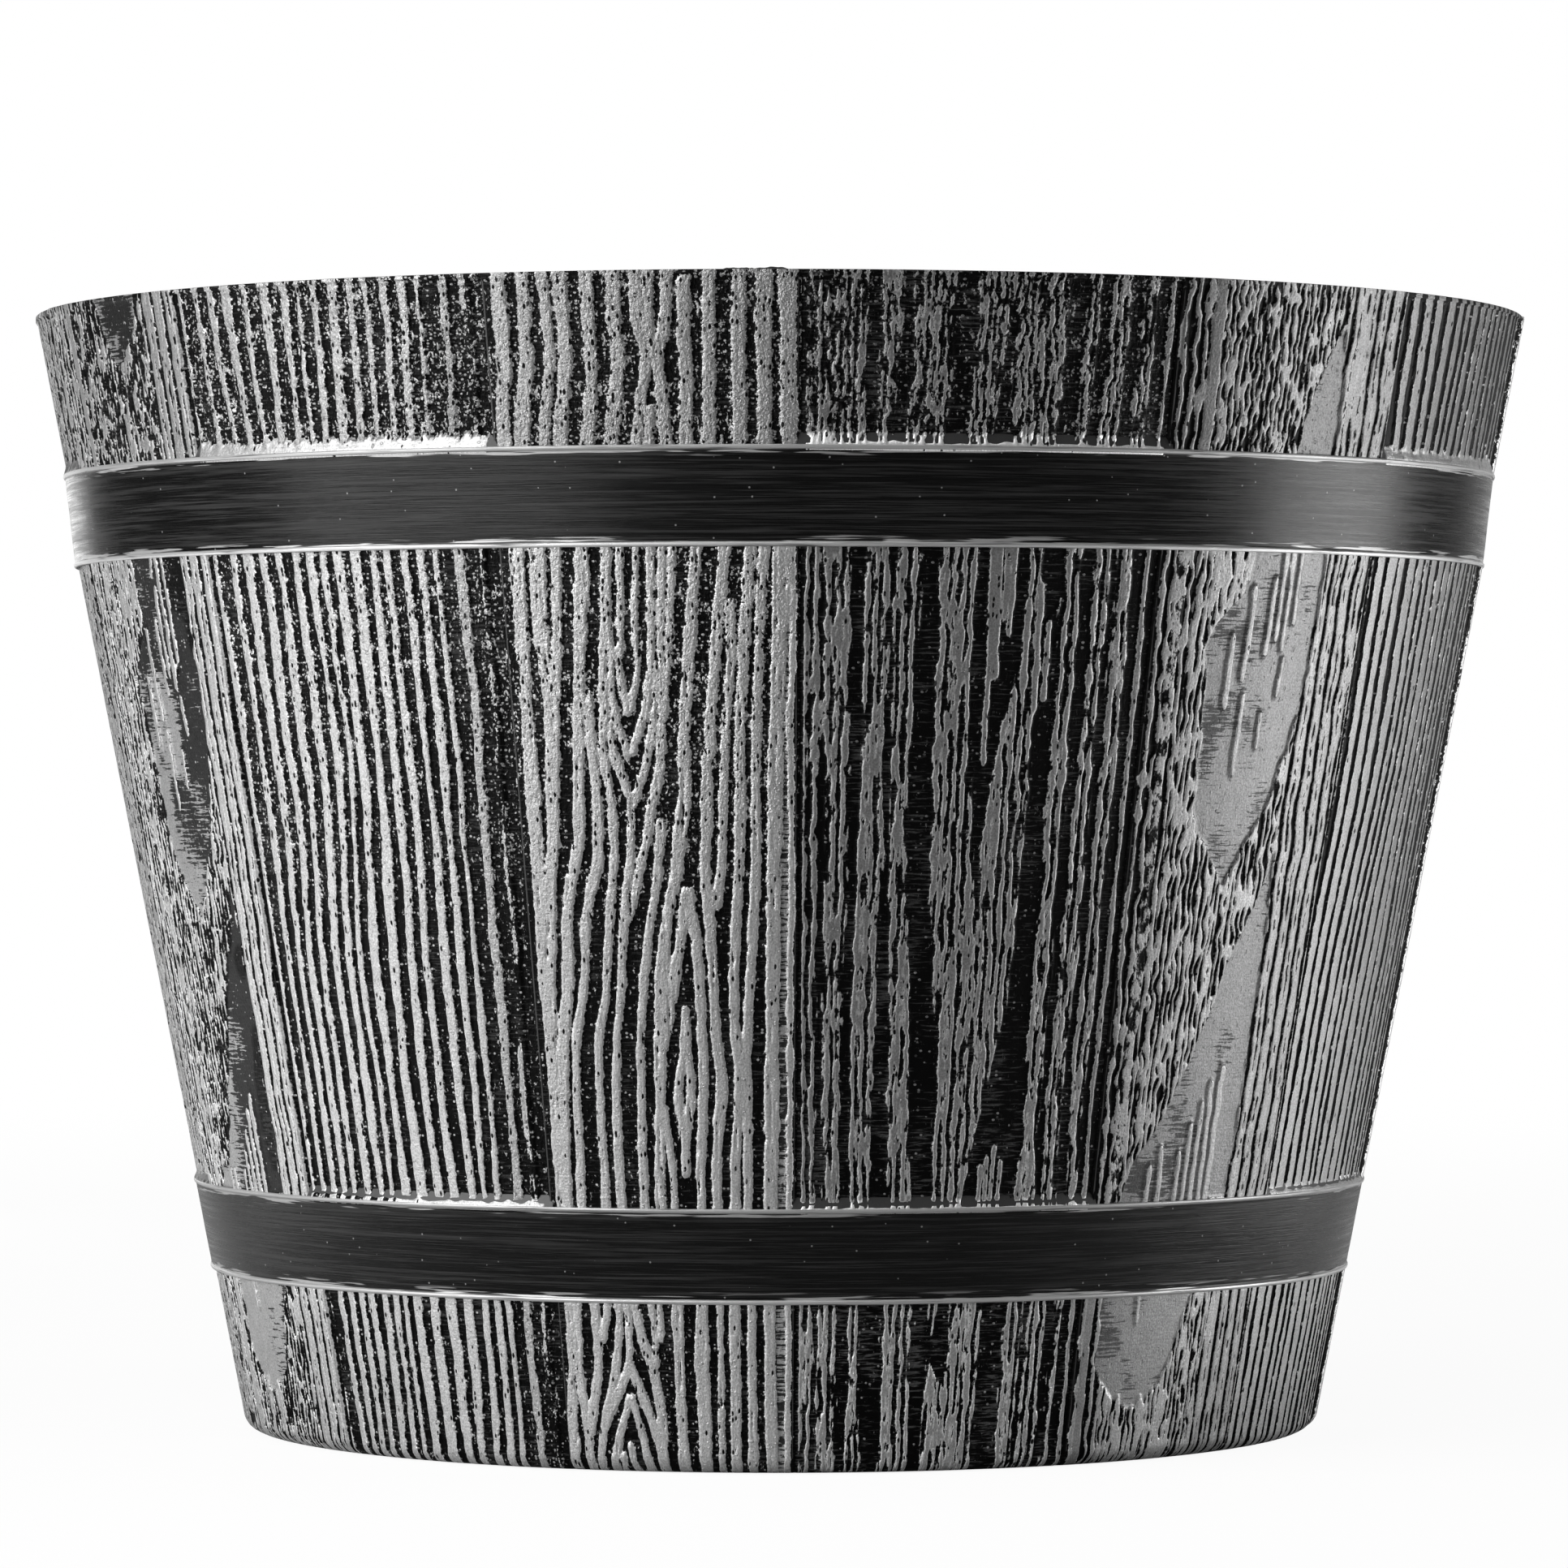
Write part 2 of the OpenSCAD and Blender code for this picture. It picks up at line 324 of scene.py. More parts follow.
def traced(t, z, strands):
    """Field of ridges drawn one by one: each is its width, then the height and place of its knots.

    The middle runs evenly between the knots, a little rounded at them, and both ends are round."""
    field = np.full(t.shape, NO_RIDGE)
    rows = z[:, 0]
    for width, *knots in strands:
        heights, places = np.array(knots[0::2])[::-1], np.array(knots[1::2])[::-1]
        low, middle, high = (np.interp(rows + step, heights, places) for step in (-ROUNDING, 0.0, ROUNDING))
        path, lean = (low + middle + high) / 3, 1 / np.hypot(1, (high - low) / (2 * ROUNDING))
        past = np.maximum(np.maximum(heights[0] - rows, rows - heights[-1]), 0)
        half = width / 2 * (1 + 0.16 * ripple(places[0] * 3.1, rows / 12, 77))
        off = np.hypot((t - path[:, None]) * lean[:, None], past[:, None] * 0.8)
        field = np.maximum(field, half[:, None] - off)
    return field


# Width in mm, then (height, place across) from the top of each ridge down to its foot
CATHEDRAL = (
    # above the upper hoop, with two ridges that meet and part again
    (2.2, 230, 2.9, 210, 2.9, 200, 2.1, 190, 1.9),
    (2.1, 230, 7.2, 210, 7.1, 205, 6.4, 200, 5.6, 190, 4.9),
    (1.5, 230, 10.2, 218, 10.9, 210, 11, 205, 10.2, 200, 9.5, 190, 8.5),
    (1.9, 230, 13.4, 210, 13.7, 200, 12.3, 190, 11.6),
    (2.1, 230, 17.8, 210, 18, 200, 17.2, 190, 15.8),
    (2.1, 230, 22.4, 216, 22, 210, 22.6, 200, 21.2, 190, 19.8),
    (1.6, 230, 25.9, 219, 25.5, 215, 26.2, 210, 27.2, 205, 26.3, 200, 25.6, 190, 24.4),
    (1.4, 230, 28, 216, 27.4, 211, 27.7),
    (1.7, 230, 31, 217, 30.4, 212, 29.2, 209, 28.8, 205, 29.4, 200, 29.7, 190, 30.3),
    (1.3, 201, 27.4, 190, 26.9),
    (1.9, 224, 33.6, 216, 33.4, 206, 33.6, 190, 33.4),
    (1.9, 230, 37.6, 190, 37.2),
    (1.9, 230, 42.4, 190, 42.2),
    (2.3, 230, 46.4, 190, 46.2),
    (2.6, 230, 50.2, 190, 50.4),
    # between the hoops: nested V's, a peak, the eye and the straight ridges on both sides
    (2.6, 180, 3.5, 145, 3.2, 115, 3, 90, 3, 70, 2.8, 45, 2.8),
    (2.7, 180, 7.3, 160, 6.8, 145, 8, 130, 6.9, 120, 6.5, 113, 5.2, 105, 4.6, 95, 3.8, 85, 3.2),
    (1.8, 180, 10.9, 160, 9.8, 148, 9),
    (2.2, 180, 15.2, 160, 14, 145, 12.8, 130, 12, 120, 11.4, 112, 9, 105, 7.8, 95, 7.4, 90, 6.8,
     85, 5.6, 75, 5, 60, 4.1, 45, 4),
    (1.8, 148, 14.6, 140, 14.8, 130, 15.3, 116, 14.8, 110, 12.6, 105, 11.7, 95, 10.8, 90, 9.9, 85, 8.4,
     75, 7.8, 60, 7.4, 45, 7.4),
    (1.7, 180, 19.3, 160, 18.3, 145, 17.3, 136, 16.8, 130, 17.8, 118, 18, 110, 16.9, 105, 16.4,
     95, 15.4, 90, 14.8, 85, 13.1, 75, 12.6, 45, 12.6),
    (1.3, 180, 21.7, 160, 20.9, 152, 20.4, 145, 21.8),
    (1.2, 180, 24.6, 160, 23.4, 153, 24.2, 146, 22.4),
    (1.4, 158, 19, 150, 18.9, 143, 19.6, 137, 21.7),
    (1.5, 180, 26.9, 156, 26.6, 146, 25.4, 137.5, 22.5),
    (1.5, 147, 17.6, 138, 18.6, 129, 21.5),
    (1.6, 180, 28.9, 160, 28.4, 144, 27, 134, 24.5, 128, 22.1),
    (1.7, 128, 21.7, 118, 21, 110, 19.9, 105, 19.3, 95, 18.5, 90, 17.9, 85, 17.1, 75, 16.2, 60, 15.9,
     45, 15.9),
    (1.5, 150, 29, 134, 27.3, 126, 25.2, 116, 23, 110, 21.4, 106, 20),
    (1.7, 124, 27, 115, 26.2, 105, 24.4, 95, 22.9, 85, 21.7, 75, 21.3, 60, 20.9, 45, 20.9),
    (1.4, 180, 30.9, 165, 30.2, 150, 28.9),
    (2.2, 180, 35.2, 160, 33.5, 145, 32.1, 130, 31.6, 115, 29.7, 110, 28.4, 105, 27.5, 95, 26.2, 88, 25.9,
     82, 25.4, 72, 25, 64, 24.6, 58, 24.2, 45, 24.2),
    (1.5, 70, 25.4, 64, 26.3, 58, 27, 45, 27.2),
    (1.8, 111, 31.4, 103, 30.4, 97, 29.2, 92, 28.3, 86, 27, 82, 25.9),
    (1.8, 111, 31.7, 103, 33.1, 95, 33.6, 85, 33.8, 75, 34, 60, 32.9, 45, 32.7),
    (1.6, 89, 30.5, 80, 29.9, 74, 28.4, 65, 29.5, 58, 29.6),
    (1.6, 89, 30.8, 80, 31, 74, 31.6, 65, 30, 58, 29.7),
    (2, 180, 40, 165, 38.6, 145, 36.7, 130, 35.6, 115, 34.7, 108, 35.6, 95, 36.2, 85, 36.5, 75, 37.7,
     60, 36.1, 45, 35.8),
    (1.7, 165, 40.4, 155, 40.3, 145, 39.4, 130, 38.6, 115, 37.9, 109, 36.8),
    (2, 180, 44.2, 160, 42.7, 145, 41.9, 130, 41.7, 115, 41.3, 95, 40.1, 85, 40.2, 76, 41.2, 60, 39.9,
     45, 39.8),
    (1.7, 180, 46.4, 160, 45.1, 130, 44.5, 115, 44.5, 95, 43.2, 78, 42.2, 60, 42.5, 45, 42.6),
    (2.7, 180, 49.2, 145, 48.4, 130, 48, 95, 47.7, 75, 47.1, 45, 47.2),
    # below the lower hoop: chevrons
    (2.2, 40, 2.6, 20, 2.6, 10, 1.7, -5, 1.7),
    (1.8, 40, 4.6, 24, 4.2, 20, 3.8, 10, 4.8, 5, 5.4, -5, 5.4),
    (2.1, 40, 8.4, 20, 8.4, 14, 7, 8, 5.9),
    (1.5, 40, 12.4, 32, 11.4, 26, 9.8),
    (1.8, 40, 14.2, 28, 13.7, 20, 12.4, 15, 10.9, 10, 9.3),
    (1.4, 40, 16, 26, 15.8, 20, 15.4),
    (1.9, 20.6, 15.4, 16, 13.3, 12.4, 10.8, 9.5, 9.2, 4, 8, -5, 7.6),
    (1.9, 20.6, 15.5, 15.7, 17.9, 10.7, 20, 6.4, 21.8, 1, 22.6, -5, 23),
    (1.9, 14.4, 15.4, 10, 13.6, 5, 11.8, -5, 10.2),
    (1.9, 14.4, 15.6, 10, 17.2, 5, 18.6, -5, 20.6),
    (1.6, 5, 14.8, 3, 15.8, -5, 17.6),
    (1.3, 3, 13.4, -5, 13.2),
    (1.9, 40, 16.6, 27, 18.5, 21, 20.6, 17, 21.6, 10, 22.6, -5, 22.8),
    (1.4, 40, 20.4, 28, 21.6, 21, 21.8),
    (1.2, 40, 22.9, 26, 23.1),
    (2.4, 40, 27, 15, 26.9, -5, 27.2),
    (2.7, 40, 32.4, 20, 32, -5, 32.3),
    (1.5, 40, 36.2, -5, 36),
    (2.1, 40, 39.4, -5, 39.2),
    (2, 40, 43, -5, 42.9),
    (2.3, 40, 46.9, 10, 47, -5, 47.4),
)
LADDER_T, RUNG_SPAN = 50.9, (48.2, 50.8)  # the thin strip at the right side, and the rungs beside it


def cathedral_grain(t, z, seed):
    """Field of the drawn ridges and of the thin strip at their right, and the paint on its rungs."""
    t = t + 0.5 * drift(t, z, seed, 0.5)
    field = traced(t, z, CATHEDRAL)
    broken = t + 0.5 * ripple(t / 2, z / 5, seed + 3)
    splits = slits(broken, z, 1.3, 0.5, seed + 4, 5.0, -0.30 + 0.25 * ease((z - 90) / 60))
    field = np.minimum(field, splits + 0.15) + 0.15 * (z > 185)
    bent = t + 0.5 * ripple(2.5, z / 11, seed + 7)
    ladder = strand(bent, z, LADDER_T, 1.15 + 0.35 * ripple(0.5, z / 5, seed + 6))
    beside = (t > RUNG_SPAN[0]) & (t < RUNG_SPAN[1]) & (z < 185)
    return np.maximum(field, ladder), np.where(beside, 0.50 + 0.16 * ripple(1.5, z / 6, seed + 9), 0)


# Each bundle of strips: the heights of its knots, and its middle and its width at each knot
BUNDLES = (
    ((0, 226), (1.5, 1.4), (1.6, 1.8)),
    ((0, 226), (3.5, 3.2), (1.7, 1.8)),
    ((0, 32, 50, 130, 175, 195, 226), (7.2, 7.2, 7.4, 7.6, 6, 7.4, 7.8), (4.6, 4.4, 4.2, 4.6, 6.5, 8, 8)),
    ((0, 32, 50, 175, 195, 226), (13.4, 13.2, 13.6, 14, 14.8, 15), (3.4, 3.2, 5, 4.6, 3.6, 3.4)),
    ((0, 32, 50, 90, 120, 175, 195, 226), (23, 23.2, 21.6, 20.6, 18.8, 19.6, 21.6, 22),
     (7.5, 7.4, 5.4, 4.8, 4, 4.6, 7, 7.2)),
    ((0, 16, 22, 50, 80, 110, 140, 175, 195, 226), (32, 32, 30, 31.4, 32.4, 29.8, 28.4, 28.2, 31, 33),
     (6, 5, 0, 6.6, 8.8, 9.6, 7.2, 7, 5, 7.6)),
    ((0, 30, 50, 75, 90, 120, 140, 155, 160, 195, 226),
     (37.6, 38, 34, 37.5, 38.8, 39, 40.4, 42, 42.4, 40, 40.6), (8, 8, 0, 3, 8, 9.4, 6.6, 3.4, 0, 9, 8.4)),
    ((0, 50, 175, 195, 226), (49, 49.2, 48.6, 48.8, 49), (4.4, 4.2, 3.6, 3, 2.8)),
    ((0, 50, 175, 195, 226), (55, 54.4, 54, 53.8, 53.8), (4.4, 4.4, 3.2, 3.4, 3.6)),
    ((0, 50, 175, 195, 226), (59.6, 60, 58.4, 59.2, 59), (1.6, 3.4, 3.8, 2.6, 2.4)),
)
# Lone spikes in the wide gaps: place, lower end and upper end
SPIKES = (
    (41.2, 150, 165), (43.2, 146, 168), (45, 148, 161), (38, 160, 180), (37, 163, 180),
    (38.8, 44, 58), (40.2, 44, 60), (41.6, 44, 62), (43.4, 44, 59), (34.6, 136, 157),
)
SPIKE_WIDTH, TONGUE_WIDTH, LAST_STRIP_T = 1.1, 2.4, 63.4


def gapped_grain(t, z, seed):
    """Field of bundles of thin strips between wide gaps: each bundle is cut by slits and frayed."""
    t = t + drift(t, z, seed, 0.5)
    field = np.full(t.shape, NO_RIDGE)
    for k, (heights, middles, widths) in enumerate(BUNDLES):
        width = 0.9 * np.interp(z, heights, widths) + 0.9 * ripple(k * 4.3, z / 9, seed + 2)
        field = np.maximum(field, width / 2 - np.abs(t - np.interp(z, heights, middles)))
    wavy = t + 0.35 * ripple(t / 1.6, z / 3.6, seed + 9)
    cuts = slits(wavy - 0.7, z, 1.72, 0.85, seed + 4, 8.0, 0.38)
    frayed = slits(wavy + 0.4 * ripple(t / 0.9, z / 1.7, seed + 15), z, 1.3, 0.62, seed + 14, 4.0, 0.55)
    nicks = slits(wavy, z, 0.95, 0.42, seed + 16, 2.6, -0.22)
    cuts = np.minimum(np.where(z > RIM_FIELD, frayed, cuts), nicks + 0.06)
    field = np.minimum(field + 0.25 * ripple(t / 1.2, z / 3.0, seed + 11), cuts)
    extras = [strand(t, z, place, SPIKE_WIDTH, low, high) for place, low, high in SPIKES]
    extras.append(strand(t, z, 34.8 + 0.02 * (175 - z), TONGUE_WIDTH, 153))
    for extra in extras:
        field = np.maximum(field, np.where(z < 194, extra, NO_RIDGE))
    return np.maximum(field, strand(t, z, LAST_STRIP_T, 0.9 + 0.5 * ripple(1.5, z / 6, seed + 7)))


# Outlines of the smooth pools: heights and places of the left side, then of the right side
POOL_TOP = (
    ((112, 114, 116, 119, 122, 126, 148, 158, 163, 168, 180),
     (23, 21.5, 19.6, 17.5, 14.6, 13.2, 12.6, 11.5, 14, 18.5, 20.5)),
    ((112, 114, 116, 120, 128, 140, 150, 180), (23, 24.2, 25.4, 27.6, 32, 35.6, 38, 38)),
)
POOL_MIDDLE = (
    ((40, 58, 65, 75, 85, 95, 103, 108, 118), (3, 8.5, 14, 19, 23.4, 27, 30, 33, 36.2)),
    ((40, 100, 112, 118), (37.3, 37.2, 36.7, 36.2)),
)
POOL_FOOT = (
    ((10, 11.5, 13, 15, 17, 19, 40), (16, 13.4, 10.6, 8, 6.4, 5.2, 5)),
    ((10, 14, 18, 26, 34, 40), (18, 22.6, 25.6, 28.4, 31.4, 32)),
)
POOL_RIM = (((194, 203, 212, 219), (28.4, 30, 32.8, 36)), ((194, 212, 219), (38, 37.4, 36)))
POOL_RIM_LEFT = (((212, 214, 222, 228), (25.5, 24.5, 21, 20.5)), ((212, 220, 228), (26.5, 33.5, 35)))
# Islands of grain in the pools: place, width, lower end and upper end
ISLES = (
    (17.4, 1.5, 147, 159), (20.8, 1.4, 152, 168), (21.6, 1.3, 134, 148), (26.8, 1.2, 139, 144.5),
    (25.7, 1.3, 157, 170), (27.6, 1.3, 160, 176), (29.6, 1.4, 158, 190), (31.6, 1.2, 163, 190),
    (30.6, 1.2, 149, 155), (11.6, 1.4, 164, 190), (14.2, 1.4, 166, 190), (16.6, 1.4, 169, 190),
    (19.2, 1.3, 171, 190), (30.3, 1.7, 40, 76), (28, 1.5, 40, 73), (25.7, 1.5, 40, 69),
    (23.4, 1.4, 40, 65), (21.2, 1.3, 40, 60), (15.9, 1.4, 40, 61), (13.4, 1.3, 40, 57),
    (15.2, 1.2, 28.5, 34), (12.6, 1.6, 0, 12), (19, 1.6, 0, 11.5),
)


def pool_depth(t, z, seed, at_left):
    """How far inside a pool a point lies, in mm: the distance to its nearest side along the row.

    Where a pool ends in a curl, its depth is also limited by the height above that end."""
    def between(sides, end=None):
        left, right = (np.interp(z, heights, places) for heights, places in sides)
        depth = np.minimum(t - left, right - t)
        return depth if end is None else np.minimum(depth, (z - end) * 0.8)

    top, foot = between(POOL_TOP, 112.5), between(POOL_FOOT, 10.6)
    middle = np.where(z > 119, top, np.where(z > 51, np.maximum(top, between(POOL_MIDDLE)), foot))
    rim = between(POOL_RIM_LEFT, 212.5) if at_left else between(POOL_RIM)
    return np.where(z > 185, rim, middle) + 0.5 * ripple(t / 2.2, z / 2.6, seed + 7)


def pool_grain(t, z, seed, shift, paint_share):
    """Fields of relief and of paint round smooth sunk pools, and the paint inside the pools.

    Short wavy slits cut the grain left of the pools, a few long ones the grain right of them, and
    one smooth strip runs up the left side."""
    fine, at_left = paint_share > 0.5, shift > 4
    slit = 0.58 if fine else 0.88
    t = t + drift(t, z, seed, 0.45)
    z = z + 1.4 * shift * ((z > 55) & (z < 172))  # a stave that is moved across is moved down too
    at_rim = z > RIM_FIELD
    pool = pool_depth(t, z, seed, at_left)
    wavy = t + 0.6 * ripple(t / 1.6, z / 3.0, seed + 9)
    cuts = slits(wavy, z, 1.36, slit * 0.95, seed + 4, 3.2, 0.26 + (slit - 0.58))
    jagged = t + 0.5 * ripple(t / 1.1, z / 1.8, seed + 15)
    short = slits(jagged, z, 1.22, slit * 0.86 + (0.0 if fine else 0.12), seed + 14, 2.6, 0.5)
    cuts = np.where(at_rim, short, cuts)
    margin = slits(wavy, z, 1.9, 1.0, seed + 8, 6.0, 0.6)
    cuts = np.where(t < np.where(at_rim, 6.0, 7.5), margin, cuts)
    lone = t + 0.5 * ripple(t / 6, z / 7, seed + 3)
    far = slits(lone, z, 3.4, 0.7, seed + 5, 26.0, 0.8)
    far = np.minimum(far, slits(lone, z, 1.7, 0.5, seed + 6, 7.0, -0.75))
    cuts = np.where(t > 36.5, far, cuts)
    smooth_t = np.where(at_rim, 7.0, np.where(z < FOOT_FIELD, 2.3, 4.6))
    strip = np.abs(t - smooth_t - 0.4 * ripple(0.5, z / 9, seed)) - 1.2
    cuts = np.where(strip < 0, np.minimum(0.12, cuts + 1), np.minimum(cuts, strip + 0.35))
    cuts = np.where((strip < -0.25) & ((z < FOOT_FIELD) | at_rim), 0.5, cuts)
    relief, painted = np.minimum(cuts, np.minimum(2.0, -pool)), np.where(pool > 0, -1.0, cuts)
    share = paint_share + 0.32 * ripple(t / 5, z / 8, seed + 12) + 0.012 * (t - 20) + 0.15 * (z < 45)
    if at_left:
        share = share + 0.06 - 0.036 * (t - 24) - 0.3 * ease((z - 158) / 8) * (z < RIM_FIELD)
    for centre, width, low, high in ISLES:
        reach = (z > low - 3) & (z < high + 3) & (z < 185)
        middle = centre + 0.3 * ripple(centre, z / 4, seed)
        isle = np.where(reach, strand(t, z, middle, width, low, high), NO_RIDGE)
        relief, painted = np.maximum(relief, isle), np.maximum(painted, isle)
    return relief, painted, np.clip(np.where(pool > 0, share, 0), 0, 1)


def stave_rows(row_mm):
    """Heights of the rows: close where the grain shows, far apart behind the hoops."""
    (low_foot, low_top), (high_foot, high_top) = LOWER_HOOP, UPPER_HOOP
    return np.concatenate([
        [0.0, 0.15, 0.5, 1.0, 1.6, 2.3],
        np.arange(2.8, low_foot + 0.3, row_mm),
        [36, 42, 48],
        np.arange(low_top - HOOP_HIDES, high_foot + 0.5, row_mm),
        [177, INSET_Z - 0.01, INSET_Z + 0.01, 186],
        np.arange(high_top - HOOP_HIDES, LAND_Z - 0.2, row_mm),
        [LAND_Z - 0.12, LAND_Z - 0.02, 225.95, 226.2, 226.36, 226.44],
    ])


GRAIN_SEEDS = {"cathedral": 100, "gapped": 200, "pool": 300, "straight": 400}
# The staves that have touches of their own, counted from the raised one left of the middle
GAPPED_FRONT, POOL_FRONT, STRAIGHT_RIGHT, STRAIGHT_LEFT = 1, 2, 3, 13


def grain_of(kind, t, z, seed, shift, widen, paint_share):
    """(relief field, painted field, paint inside a pool) of this kind of stave, worn a little rough."""
    inside = np.zeros(t.shape)
    if kind == "pool":
        field, painted, inside = pool_grain(t - shift, z, seed, shift, paint_share)
    elif kind == "cathedral":
        field, inside = cathedral_grain(t, z, seed)
    elif kind == "gapped":
        field = gapped_grain(t, z, seed)
    else:
        field = straight_grain(t, z, seed, shift, widen)
    rough = 0.16 * ripple(t / 0.8, z / 1.7, seed + 50) + 0.12 * ripple(t / 1.7, z / 4.2, seed + 51)
    return field + rough, (painted if kind == "pool" else field) + rough, inside


def ramps(t, z, radius, side, seed, ragged, fade_left):
    """The radius of a set-back stave with its two ramps, and the paint on them, from 0 to 1.

    A ramp slopes evenly from a hoop's top edge down to the wall. Its end is jagged, more so where
    the grain is ragged, and its paint is scratched."""
    paint = np.zeros(t.shape)
    for hoop, height in ((LOWER_HOOP, RAMP_HEIGHT * LOWER_RAMP_SHARE), (UPPER_HOOP, RAMP_HEIGHT)):
        above = (z - hoop[1]) / height
        jag = 1 + 0.25 * ripple(t / 1.6, 0.5, seed + 60) - 0.55 * ragged
        slope = np.clip(1 - above / jag, 0, 1) * (above > -0.6)
        ramp = wall_radius(z) + (HOOP_PROUD + RAMP_PROUD) * slope * side
        radius = np.where((slope > 0) & (side > 0.2), np.maximum(radius, ramp), radius)
        scratches = 0.5 * ripple(t / 0.45, z / 7, seed + 61) + 0.3 * ripple(t / 1.5, z / 3, seed + 62)
        fresh = ease((slope * 2.6 + scratches - 0.35) * 2.5) * side * (slope > 0)
        if fade_left and hoop == LOWER_HOOP:
            fresh = fresh * ease((t - 24) / 16)
        paint = np.maximum(paint, fresh)
    return radius, paint


def stave_surface(number, kind, shift, widen, paint_share):
    """Azimuths and rows of a stave's grid, and at each point its radius, paint fields, t and z.

    The radius is the wall's, plus the step of a raised stave, plus a smooth step of the grain
    field. At both side edges it falls to the wall, so that neighbours share their border."""
    raised = number % 2 == 0
    start_edge = FIRST_EDGE + (number // 2) * PAIR_ANGLE + (0 if raised else RAISED_ANGLE)
    span = RAISED_ANGLE if raised else PAIR_ANGLE - RAISED_ANGLE
    over = EDGE_OVERHANG if raised else -EDGE_OVERHANG
    low, high = start_edge - over, start_edge + span + over
    to_mm = math.radians(1) * GAUGE_RADIUS
    column_mm, row_mm = COARSE_MESH if number in BACK_STAVES else FINE_MESH
    azimuth = np.linspace(low, high, int(round((high - low) * to_mm / column_mm)) + 1)
    rows = stave_rows(row_mm)
    a, z = np.meshgrid(azimuth, rows)
    t = (a - start_edge) * to_mm
    seed = GRAIN_SEEDS[kind] + (number >= 7) * 17 + (number // 4)
    field, painted, inside = grain_of(kind, t, z, seed, shift, widen, paint_share)
    # the outermost groove on either side, and the smooth lands at the rim and the foot
    edge = np.minimum(t, span * to_mm - t)
    if raised:
        border = (edge + EDGE_OVERHANG * to_mm) * 1.5 - 0.5
    else:
        border = (edge - EDGE_OVERHANG * to_mm) * 1.2 - 0.8
    field, painted = np.minimum(field, border), np.minimum(painted, border)
    land = np.maximum(ease((z - 225.2) / 0.4), ease((1.2 - z) / 1.0))
    lift = np.maximum(ease(field / 0.42 + 0.6), land * LAND_LIFT)
    for foot, top in (LOWER_HOOP, UPPER_HOOP):
        lift = np.where((z > foot + HOOP_HIDES) & (z < top - HOOP_HIDES), 0.0, lift)
    side = ease((np.minimum(a - low, high - a) * to_mm - 0.02) / EDGE_SLOPE)
    rise = GRAIN_FLOOR + GRAIN_DEPTH * lift * side
    if raised:
        rise = rise + STAVE_STEP * side * np.where(z < FOOT_ROUND, ease(z / FOOT_ROUND), 1)
    radius, ramp_paint = wall_radius(z) + rise, np.zeros(t.shape)
    if not raised:
        ragged = (kind == "gapped") * (field < 0)
        radius, ramp_paint = ramps(t, z, radius, side, seed, ragged, number == STRAIGHT_LEFT)
    radius = np.where(z > LAND_Z - 0.05, np.maximum(radius, LAND_RADIUS + 0.08), radius)
    return azimuth, rows, radius, painted, inside, ramp_paint, t, z, seed


INNER_ROWS = np.array([226.3, 200, INSET_Z + 0.01, INSET_Z - 0.01, 150, 100, 50, 10, 2.4, 0.9, 0.25])


def skin_map(rows, n_col, loop_z):
    """The unrolled map of a closed skin, corner by corner: across it, and up by height.

    The outside fills the map but for its top twentieth, which holds the inside and the two ends."""
    outside = 0.004 + 0.941 * (rows - rows[0]) / (rows[-1] - rows[0])
    up = np.concatenate([outside, 0.95 + 0.036 * np.arange(len(INNER_ROWS) + 1) / len(INNER_ROWS)])
    across = np.linspace(0.002, 0.998, n_col)
    u = np.stack([across[:-1], across[1:], across[1:], across[:-1]], -1)[None, :, :]
    v = np.stack([up[:-1], up[:-1], up[1:], up[1:]], -1)[:, None, :]
    quads = np.stack(np.broadcast_arrays(u, v), -1).reshape(-1, 2)
    along = 0.002 + 0.996 * loop_z / TUB_HEIGHT
    outer_side = np.arange(len(loop_z)) < len(rows)
    first = np.stack([along, 0.989 + 0.004 * outer_side], -1)[::-1]
    last = np.stack([along, 0.995 + 0.004 * outer_side], -1)
    return np.concatenate([quads, first, last])


def on_tub(r, turn, z):
    """Points in metres at radius r, azimuth a and height z: (r sin a, -r cos a, z)."""
    r, turn, z = np.broadcast_arrays(r, turn, z)
    return np.stack([r * np.sin(turn), -r * np.cos(turn), z], -1).reshape(-1, 3) * MM


def joined_loops(n_loop, n_col):
    """Corners of the quads that join closed loops of points, side by side, and of the two ends."""
    index = np.arange(n_loop * n_col).reshape(n_loop, n_col)
    after = np.roll(index, -1, 0)
    quads = np.stack([index[:, :-1], index[:, 1:], after[:, 1:], after[:, :-1]], -1).reshape(-1, 4)
    return quads, index[::-1, 0], index[:, -1]


